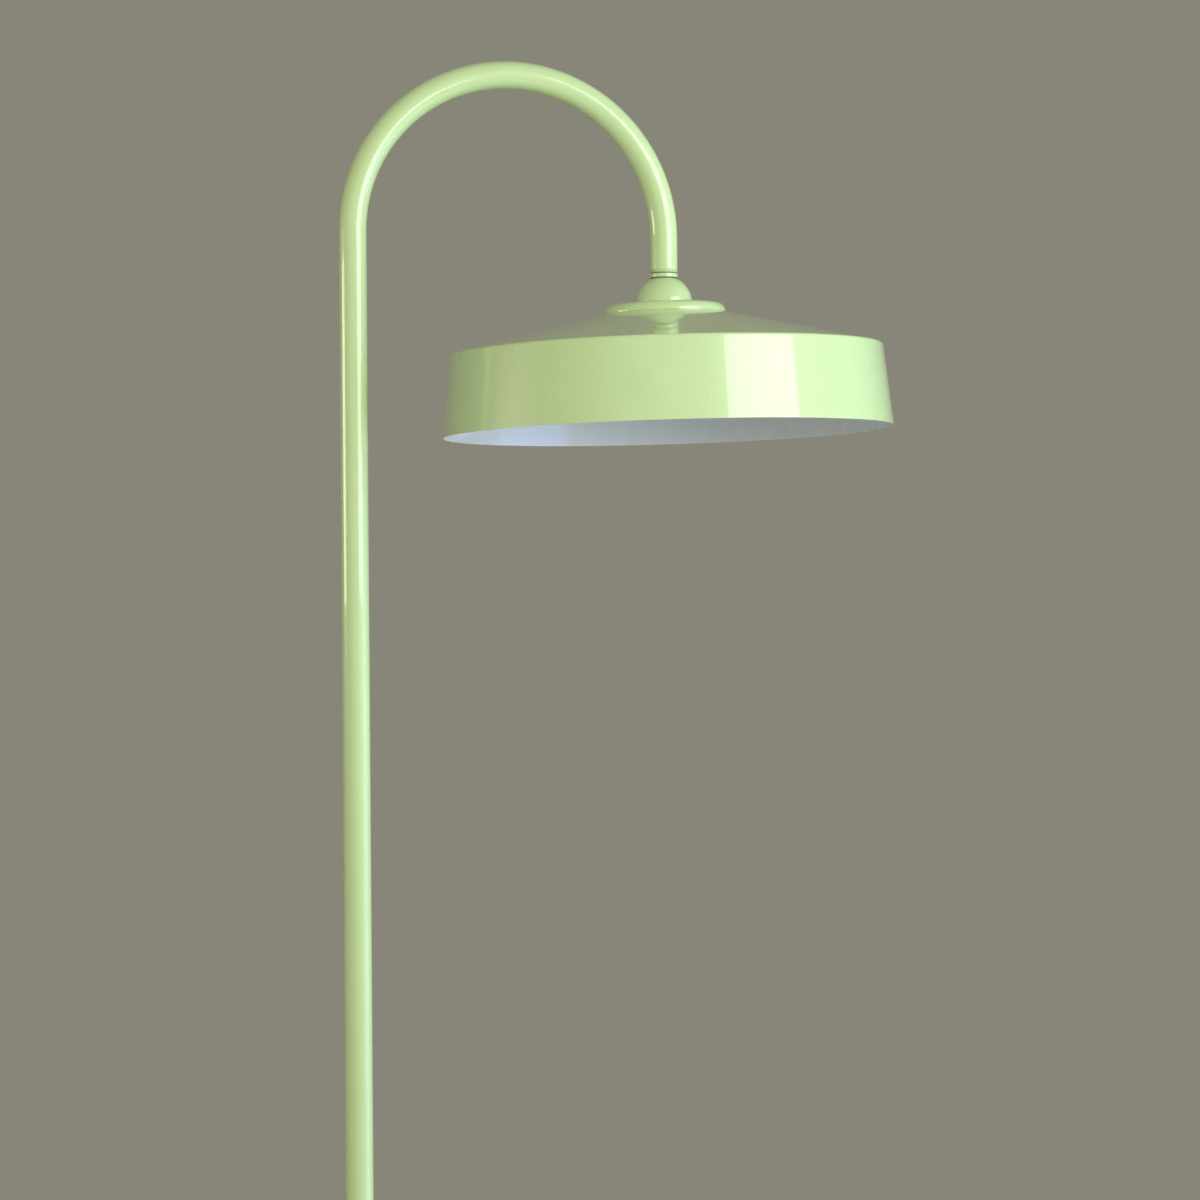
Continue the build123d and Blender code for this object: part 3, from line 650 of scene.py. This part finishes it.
domeOutline = (
    arcPoints(swivel["domeRadius"], 0, 90, 48)
    + arcPoints(swivel["domeBore"], 90, 6, 24)
    + [
        (swivel["domeBore"] - 0.2, swivel["flangeHeight"]),
        (swivel["flangeRadius"], swivel["flangeHeight"]),
        (swivel["flangeRadius"], 0),
    ]
)
domeBlank = turnedMesh("ballDome", domeOutline, swivel["domeSteps"], onHead)
slotShape = bmesh.new()
for tilt in (0, swivel["slotEnd"]):
    lean = Matrix.Rotation(math.radians(-tilt), 4, "X")
    for height in swivel["slotHeights"]:
        for step in range(swivel["slotSteps"]):
            turn = math.tau * step / swivel["slotSteps"]
            rim = Vector((math.cos(turn), math.sin(turn), 0)) * swivel["slotRadius"]
            slotShape.verts.new(onArmEnd @ (lean @ ((rim + Vector((0, 0, height))) * mm)))
hull = bmesh.ops.convex_hull(slotShape, input=slotShape.verts)
loose = {*hull["geom_interior"], *hull["geom_unused"]}
bmesh.ops.delete(
    slotShape, geom=[item for item in loose if isinstance(item, bmesh.types.BMVert)],
    context="VERTS",
)
bmesh.ops.recalc_face_normals(slotShape, faces=slotShape.faces)
domeMesh = cutMesh(domeBlank, [meshFrom(slotShape, "slotCutter")])
finishMesh("ballDome", domeMesh, "head", ["dome_cap"], [greenLacquer])


# ---- disc, shade and its ring ----

print("stage: shade")
collar = {
    "radius": 62.5,
    "height": 10.1,
    "crown": 0.8,
    "crownRadius": 31.0,
    "rounding": 8.5,
    "recess": 3.35,
    "rimInside": 61.0,
    "rimGap": 0.04,
    "neckRadius": 25.0,
    "neckBore": 22.0,
    "neckLength": 8.0,
    "screwCircle": 19.0,
    "screwHead": 2.75,
    "screwHeadHeight": 2.4,
    "screwShank": 1.5,
    "screwLength": 9.25,
    "screws": 3,
    "steps": 192,
}
shadePlan = {
    "hole": 25.2,
    "flat": 48.0,
    "shoulder": 221.5,
    "shoulderDrop": 40.8,
    "rim": 230.0,
    "drum": 83.5,
    "wall": 1.0,
    "rounding": 3.0,
    "steps": 256,
}
coneSlope = shadePlan["shoulderDrop"] / (shadePlan["shoulder"] - shadePlan["flat"])
seat = collar["recess"] - collar["height"]
rimFoot, rimInsideFoot = (
    seat + collar["rimGap"] - coneSlope * (radius - shadePlan["flat"])
    for radius in (collar["radius"], collar["rimInside"])
)
discOutline = roundedOutline([
    (collar["crownRadius"], 0, 2.0),
    (collar["radius"], -collar["crown"], collar["rounding"]),
    (collar["radius"], rimFoot, 0.15),
    (collar["rimInside"], rimInsideFoot, 0.15),
    (collar["rimInside"], seat, 0),
    (collar["neckRadius"], seat, 0),
    (collar["neckRadius"], seat - collar["neckLength"], 0.4),
    (collar["neckBore"], seat - collar["neckLength"], 0.4),
    (collar["neckBore"], seat, 0),
    (swivel["stem"], seat, 0),
    (swivel["stem"], 0, 0),
], 16)
discBlank = turnedMesh("collarDisc", discOutline, collar["steps"], onHead)
discCutters = []
screwRecess = (seat - 1, seat + collar["screwHeadHeight"])
for number in range(collar["screws"]):
    spot = onHead @ Matrix.Rotation(math.tau / collar["screws"] * number, 4, "Z")
    ends = [spot @ Vector((collar["screwCircle"] * mm, 0, z * mm)) for z in screwRecess]
    discCutters.append(rodMesh(collar["screwHead"], *ends))
discMesh = cutMesh(discBlank, discCutters)
finishMesh("collarDisc", discMesh, "head", ["collar_disc"], [greenLacquer])


def socketScrew(headRadius, headHeight, shankRadius, length):
    # a cap screw that stands on its head at height 0, with a hexagon socket in it
    blank = turnedMesh("screw", roundedOutline([
        (0, 0, 0), (headRadius, 0, 0.25), (headRadius, headHeight, 0.15),
        (shankRadius, headHeight, 0), (shankRadius, length, 0.3), (0, length, 0),
    ], 4), 32, onFloor)
    socket = rodMesh(
        shankRadius * 0.8, (0, 0, -1 * mm), (0, 0, headHeight * 0.5 * mm), 6
    )
    return cutMesh(blank, [socket])


capScrew = socketScrew(
    collar["screwHead"], collar["screwHeadHeight"], collar["screwShank"], collar["screwLength"]
)
discScrews = ringMesh(
    capScrew, collar["screws"], collar["screwCircle"], seat, 0, zincPlate, onHead
)
finishMesh("discScrews", discScrews, "head", ["dome_screws"], [zincPlate])

shoulderLine = seat - shadePlan["shoulderDrop"]
rimLine = shoulderLine - shadePlan["drum"]


def insetLine(points, amount):
    # the same open line, moved square to itself towards the axis
    moved = []
    for index, point in enumerate(points):
        here = Vector(point)
        sides = []
        if index > 0:
            sides.append((here - Vector(points[index - 1])).normalized())
        if index < len(points) - 1:
            sides.append((Vector(points[index + 1]) - here).normalized())
        squares = [Vector((side.y, -side.x)) for side in sides]
        middle = sum(squares, Vector((0, 0))).normalized()
        moved.append(here + middle * (amount / middle.dot(squares[0])))
    return moved


skinCorners = [
    (shadePlan["hole"], seat), (shadePlan["flat"], seat),
    (shadePlan["shoulder"], shoulderLine), (shadePlan["rim"], rimLine),
]
insideCorners = insetLine(skinCorners, shadePlan["wall"])
outerRounding = (0, shadePlan["rounding"], shadePlan["rounding"], 0.35)
innerRounding = (0, shadePlan["rounding"], shadePlan["rounding"] - shadePlan["wall"], 0.35)
shadeOutline = roundedOutline(
    [(x, z, rounding) for (x, z), rounding in zip(skinCorners, outerRounding)]
    + [
        (point.x, point.y, rounding)
        for point, rounding in reversed(list(zip(insideCorners, innerRounding)))
    ],
    12,
)
shadeMesh = turnedMesh("spunShade", shadeOutline, shadePlan["steps"], onHead)
finishMesh(
    "spunShade", shadeMesh, "head", ["shade"], [greenLacquer, whiteLacquer]
)
# the inside, up to the middle of the rim's edge, is sprayed white
fromHead = onHead.inverted()
for face in shadeMesh.polygons:
    middle = fromHead @ face.center
    outward = (fromHead.to_3x3() @ face.normal).normalized()
    away = Vector((middle.x, middle.y, 0)).normalized()
    drumInside = outward.dot(away) < -0.15
    face.material_index = 1 if drumInside or outward.z < -0.5 else 0

clampPlan = {
    "radius": 33.0,
    "bore": 25.0,
    "height": 4.0,
    "ribs": 60,
    "ribRise": 0.7,
    "ribMargin": 1.2,
    "steps": 160,
}
under = seat - shadePlan["wall"]
clampFoot = under - clampPlan["height"]
clampRadius = clampPlan["radius"] - clampPlan["ribRise"]
clampBody = turnedMesh("clampBody", roundedOutline([
    (clampRadius, clampFoot, 0.6), (clampRadius, under, 0.4),
    (clampPlan["bore"], under, 0), (clampPlan["bore"], clampFoot, 0.5),
]), clampPlan["steps"], onHead)
ribMesh = pinMesh(
    "gripRib", clampPlan["ribRise"], (clampPlan["height"] - clampPlan["ribMargin"]) * mm, 10
)
clampRibs = ringMesh(
    ribMesh, clampPlan["ribs"], clampRadius, (under + clampFoot) / 2, 0, blackNylon, onHead
)
finishMesh(
    "shadeClampRing", joinMeshes("shadeClampRing", [clampBody, clampRibs]),
    "head", ["shade_ring"], [blackNylon],
)


# ---- lamp holder and bulb ----

print("stage: lamp holder")
holder = {
    "capTop": -13.4,
    "capRadius": 19.0,
    "capHeight": 20.8,
    "capCrown": 3.0,
    "bodyRadius": 17.4,
    "bodyLength": 28.0,
    "floor": 3.0,
    "shell": 13.7,
    "flutes": 36,
    "fluteRise": 0.35,
    "globe": 22.5,
    "neck": 12.6,
    "neckLength": 4.0,
    "glass": 0.8,
    "contact": 1.5,
    "tip": 1.5,
    "bulbCap": 21.0,
    "steps": 128,
    "globeSteps": 96,
}
capInside = holder["capTop"] - holder["capCrown"]
capFoot = holder["capTop"] - holder["capHeight"]
bodyFoot = capInside - holder["bodyLength"]
capMesh = turnedMesh("holderCap", roundedOutline([
    (swivel["stem"], holder["capTop"], 0), (holder["capRadius"], holder["capTop"], 2.4),
    (holder["capRadius"], capFoot, 0.5), (holder["bodyRadius"], capFoot, 0),
    (holder["bodyRadius"], capInside, 0), (swivel["stem"], capInside, 0),
]), holder["steps"], onHead)
finishMesh("holderCap", capMesh, "head", ["holder_cap"], [whitePhenolic])

gripRadius = holder["bodyRadius"] - holder["fluteRise"]
bodyMesh = turnedMesh("holderBody", roundedOutline([
    (0, capInside, 0), (gripRadius, capInside, 0),
    (gripRadius, bodyFoot, 0.9), (holder["shell"], bodyFoot, 0.5),
    (holder["shell"], capInside - holder["floor"], 0), (0, capInside - holder["floor"], 0),
]), holder["steps"], onHead)
fluteLength = capFoot - bodyFoot - 1.5
fluteMesh = pinMesh("gripFlute", holder["fluteRise"], fluteLength * mm, 10)
bodyFlutes = ringMesh(
    fluteMesh, holder["flutes"], gripRadius, bodyFoot + 1.0 + fluteLength / 2, 0,
    whitePhenolic, onHead,
)
finishMesh(
    "holderBody", joinMeshes("holderBody", [bodyMesh, bodyFlutes]),
    "head", ["holder_body"], [whitePhenolic],
)

globeTop = capInside - holder["floor"] - holder["contact"] - holder["tip"] - holder["bulbCap"]
globeDrop = math.sqrt(holder["globe"] ** 2 - holder["neck"] ** 2)
globeMiddle = globeTop - holder["neckLength"] - globeDrop
neckAngle = math.degrees(math.acos(holder["neck"] / holder["globe"]))
innerGlobe = holder["globe"] - holder["glass"]
innerNeck = holder["neck"] - holder["glass"]
innerAngle = math.degrees(math.acos(innerNeck / innerGlobe))
globeOutline = (
    [(holder["neck"], globeTop)]
    + [
        (x, z + globeMiddle)
        for x, z in arcPoints(holder["globe"], neckAngle, -90, 48)
    ]
    + [(x, z + globeMiddle) for x, z in arcPoints(innerGlobe, -90, innerAngle, 48)]
    + [(innerNeck, globeTop)]
)
globeMesh = turnedMesh("bulbGlobe", globeOutline, holder["globeSteps"], onHead)
finishMesh("bulbGlobe", globeMesh, "head", ["bulb_globe"], [etchedGlass])


# ---- base ----

print("stage: base")
base = {
    "radius": 150.0,
    "height": 26.0,
    "rounding": 7.0,
    "wall": 1.5,
    "pad": 2.0,
    "padRadius": 146.0,
    "hole": 17.0,
    "button": -95.0,
    "bezelNeck": 14.5,
    "grommetHeight": 12.0,
    "grommetNeck": 5.0,
    "steps": 256,
}
coverTop = base["height"]
coverBlank = turnedMesh("baseCover", roundedOutline([
    (base["radius"], base["pad"], 0.3), (base["radius"], coverTop, base["rounding"]),
    (base["hole"], coverTop, 0.3), (base["hole"], coverTop - base["wall"], 0),
    (base["radius"] - base["wall"], coverTop - base["wall"], base["rounding"] - base["wall"]),
    (base["radius"] - base["wall"], base["pad"], 0.3),
], 14), base["steps"], onFloor)
buttonHole = rodMesh(
    base["bezelNeck"], (0, base["button"] * mm, (coverTop - 4) * mm),
    (0, base["button"] * mm, (coverTop + 4) * mm), 96,
)
leadHole = rodMesh(
    base["grommetNeck"], (-(base["radius"] + 5) * mm, 0, base["grommetHeight"] * mm),
    (-(base["radius"] - 5) * mm, 0, base["grommetHeight"] * mm), 64,
)
coverMesh = cutMesh(coverBlank, [buttonHole, leadHole])
finishMesh("baseCover", coverMesh, "base", ["base_cover"], [greenLacquer])

padMesh = turnedMesh("basePad", roundedOutline([
    (0, 0, 0), (base["padRadius"], 0, 0.4), (base["padRadius"], base["pad"], 0.4),
    (0, base["pad"], 0),
]), base["steps"], onFloor)
finishMesh("basePad", padMesh, "base", ["base_pad"], [woolFelt])

collarPlan = {
    "radius": 23.0,
    "bore": 14.4,
    "lip": 17.0,
    "height": 10.0,
    "rounding": 5.0,
    "steps": 128,
}
collarMesh = turnedMesh("poleCollar", roundedOutline([
    (collarPlan["bore"], coverTop - base["wall"], 0),
    (collarPlan["lip"], coverTop - base["wall"], 0),
    (collarPlan["lip"], coverTop, 0), (collarPlan["radius"], coverTop, 0.3),
    (collarPlan["radius"], coverTop + collarPlan["height"], collarPlan["rounding"]),
    (collarPlan["bore"], coverTop + collarPlan["height"], 0.6),
], 12), collarPlan["steps"], onFloor)
finishMesh("poleCollar", collarMesh, "base", ["pole_collar"], [greenLacquer])

grommet = {
    "bore": 3.6,
    "flange": 6.5,
    "thickness": 1.5,
    "inside": 1.642,
    "steps": 64,
}
grommetPlace = Matrix.Translation((
    -base["radius"] * mm, 0, base["grommetHeight"] * mm
)) @ Matrix.Rotation(math.radians(-90), 4, "Y")
innerFlange = -grommet["inside"] - grommet["thickness"]
grommetMesh = turnedMesh("leadGrommet", roundedOutline([
    (grommet["bore"], grommet["thickness"], 0.4),
    (grommet["flange"], grommet["thickness"], 0.7),
    (grommet["flange"], 0, 0.2), (base["grommetNeck"], 0, 0),
    (base["grommetNeck"], -grommet["inside"], 0), (grommet["flange"], -grommet["inside"], 0.2),
    (grommet["flange"], innerFlange, 0.3), (grommet["bore"], innerFlange, 0.3),
]), grommet["steps"], grommetPlace)
finishMesh("leadGrommet", grommetMesh, "base", ["cable_grommet"], [blackRubber])

pedal = {
    "bezel": 17.5,
    "bezelBore": 12.4,
    "bezelHeight": 2.5,
    "radius": 12.0,
    "top": 32.0,
    "edge": 1.2,
    "dish": 60.0,
    "dishDepth": 0.8,
    "dishEdge": 9.6,
    "rimInside": 9.8,
    "groovePitch": 1.6,
    "grooveDepth": 0.22,
    "flange": 13.6,
    "flangeFoot": 22.3,
    "flangeTop": 24.3,
    "stem": 4.0,
    "stemFoot": 11.8,
    "bezelSteps": 128,
    "steps": 96,
}
onButton = Matrix.Translation((0, base["button"] * mm, 0))
bezelMesh = turnedMesh("pedalBezel", roundedOutline([
    (pedal["bezelBore"], coverTop - base["wall"], 0),
    (base["bezelNeck"], coverTop - base["wall"], 0), (base["bezelNeck"], coverTop, 0),
    (pedal["bezel"], coverTop, 0.2), (pedal["bezel"], coverTop + pedal["bezelHeight"], 1.5),
    (pedal["bezelBore"], coverTop + pedal["bezelHeight"], 0.5),
]), pedal["bezelSteps"], onButton)
finishMesh("pedalBezel", bezelMesh, "base", ["button_bezel"], [blackPlastic])

dishPoints = []
dishSteps = 60
for step in range(dishSteps + 1):
    reach = pedal["dishEdge"] * (1 - step / dishSteps)
    groove = 0.5 - 0.5 * math.cos(math.tau * reach / pedal["groovePitch"])
    grooved = pedal["groovePitch"] < reach < pedal["dishEdge"]
    depth = pedal["grooveDepth"] * groove if grooved else 0
    dishPoints.append(
        (reach, pedal["top"] - pedal["dishDepth"] + reach**2 / (2 * pedal["dish"]) - depth)
    )
pedalOutline = roundedOutline([
    (0, pedal["stemFoot"], 0), (pedal["stem"], pedal["stemFoot"], 0.4),
    (pedal["stem"], pedal["flangeFoot"], 0), (pedal["flange"], pedal["flangeFoot"], 0.2),
    (pedal["flange"], pedal["flangeTop"], 0.2), (pedal["radius"], pedal["flangeTop"], 0),
    (pedal["radius"], pedal["top"], pedal["edge"]),
    (pedal["rimInside"], pedal["top"], 0),
]) + dishPoints
pedalMesh = turnedMesh("footPedal", pedalOutline, pedal["steps"], onButton)
finishMesh("footPedal", pedalMesh, "button", ["foot_button"], [blackPlastic])

coverScrewPlan = {
    "head": 3.6,
    "headHeight": 2.6,
    "shank": 2.0,
    "length": 21.0,
    "count": 3,
    "circle": 125.0,
    "foot": 3.0,
    "firstAngle": 45,
}
coverScrew = socketScrew(
    coverScrewPlan["head"], coverScrewPlan["headHeight"],
    coverScrewPlan["shank"], coverScrewPlan["length"],
)
coverScrews = ringMesh(
    coverScrew, coverScrewPlan["count"], coverScrewPlan["circle"], coverScrewPlan["foot"],
    coverScrewPlan["firstAngle"], zincPlate, onFloor,
)
finishMesh("coverScrews", coverScrews, "base", ["cover_screws"], [zincPlate])


# ---- the room: floor, light and camera ----

print("stage: room")
floorSize = {"radius": 2.2, "edges": 128}
floorShape = bmesh.new()
bmesh.ops.create_circle(
    floorShape, cap_ends=True, segments=floorSize["edges"], radius=floorSize["radius"]
)
floorMesh = meshFrom(floorShape, "floor")
floor = addObject("floor", floorMesh)
floorFinish, _, floorShader, _ = startMaterial("paleFloorPaint")
floorShader.inputs["Base Color"].default_value = linearColour("cfcdc6")
floorShader.inputs["Roughness"].default_value = 0.7
floorMesh.materials.append(floorFinish)

room = bpy.data.worlds.new("room")
bpy.context.scene.world = room
room.use_nodes = True
wallLight = room.node_tree.nodes["Background"]
wallLight.inputs["Color"].default_value = linearColour("888678")
wallLight.inputs["Strength"].default_value = 1.0

armReach = ballCentre.x

cameraPlan = {
    "azimuth": 15.21,      # degrees from straight on, towards the pole's side
    "pitch": 1.470,        # looking slightly up
    "roll": -0.500,
    "distance": 4.672,
    "aside": 0.0883,       # the lens stands this far right of the bow's middle
    "height": 1.1841,
    "focal": 139.02,
}


def placeCamera(plan):
    turn = math.radians(plan["azimuth"])
    pitch = math.radians(plan["pitch"])
    roll = math.radians(plan["roll"])
    ahead = Vector((math.sin(turn), math.cos(turn), 0))
    right = Vector((math.cos(turn), -math.sin(turn), 0))
    up = Vector((0, 0, 1))
    spot = Vector((armReach / 2, 0, 0)) - ahead * plan["distance"] + right * plan["aside"]
    spot.z = plan["height"]
    look = ahead * math.cos(pitch) + up * math.sin(pitch)
    top = up * math.cos(pitch) - ahead * math.sin(pitch)
    side = right * math.cos(roll) + top * math.sin(roll)
    top = top * math.cos(roll) - right * math.sin(roll)
    camera = addObject("camera", bpy.data.cameras.new("camera"))
    axes = Matrix((side, top, -look)).transposed().to_4x4()
    camera.matrix_world = Matrix.Translation(spot) @ axes
    camera.data.lens = plan["focal"]
    camera.data.sensor_width = 36
    bpy.context.scene.camera = camera
    return turn


viewTurn = placeCamera(cameraPlan)


def softPanel(name, bearing, height, distance, size, power, colour, lift=0.0, seenIn="both"):
    # A panel on a circle round the shade. The bearing is in degrees to the right of the lens.
    # It may be seen in the gloss, light the paint, or both.
    turn = viewTurn - math.radians(bearing)
    outward = Vector((-math.sin(turn), -math.cos(turn), 0))
    spot = Vector((armReach, 0, height)) + outward * distance
    light = addObject(name, bpy.data.lights.new(name, "AREA"))
    light.data.shape = "RECTANGLE"
    light.data.size, light.data.size_y = size
    light.data.energy = power
    light.data.color = linearColour(colour)[:3]
    target = Vector((armReach, 0, height + lift))
    light.rotation_mode = "QUATERNION"
    light.rotation_quaternion = (target - spot).to_track_quat("-Z", "Y")
    light.location = spot
    light.visible_camera = False
    light.visible_glossy = seenIn != "paint"
    light.visible_diffuse = seenIn != "gloss"


roomPanels = {
    "windowPanel": {
        "bearing": 47.5, "height": 1.97, "distance": 2.2, "size": (1.52, 1.2),
        "power": 25, "colour": "f2f9ff",
    },
    "rightWallPanel": {
        "bearing": 95, "height": 2.0, "distance": 3.0, "size": (3.2, 2.2),
        "power": 66, "colour": "e8f5ff", "lift": -0.3, "seenIn": "paint",
    },
    "frontPanel": {
        "bearing": -12, "height": 2.1, "distance": 3.2, "size": (2.4, 1.6),
        "power": 53, "colour": "fff8ea", "lift": -0.6, "seenIn": "paint",
    },
    "lowSkyPanel": {
        "bearing": 76, "height": 0.72, "distance": 2.6, "size": (1.6, 0.8),
        "power": 20, "colour": "d2ebff", "lift": 0.6, "seenIn": "paint",
    },
    "doorPanel": {
        "bearing": -84, "height": 1.64, "distance": 3.0, "size": (1.2, 0.55),
        "power": 13, "colour": "fff4dc", "seenIn": "gloss",
    },
    "skyPanel": {
        "bearing": 80, "height": 0.75, "distance": 2.6, "size": (2.2, 1.6),
        "power": 19, "colour": "8ea6ff", "seenIn": "gloss",
    },
}
for panelName, panel in roomPanels.items():
    softPanel(panelName, **panel)

viewSettings = bpy.context.scene.view_settings
viewSettings.view_transform = "Standard"
viewSettings.look = "None"

print("stage: finish")
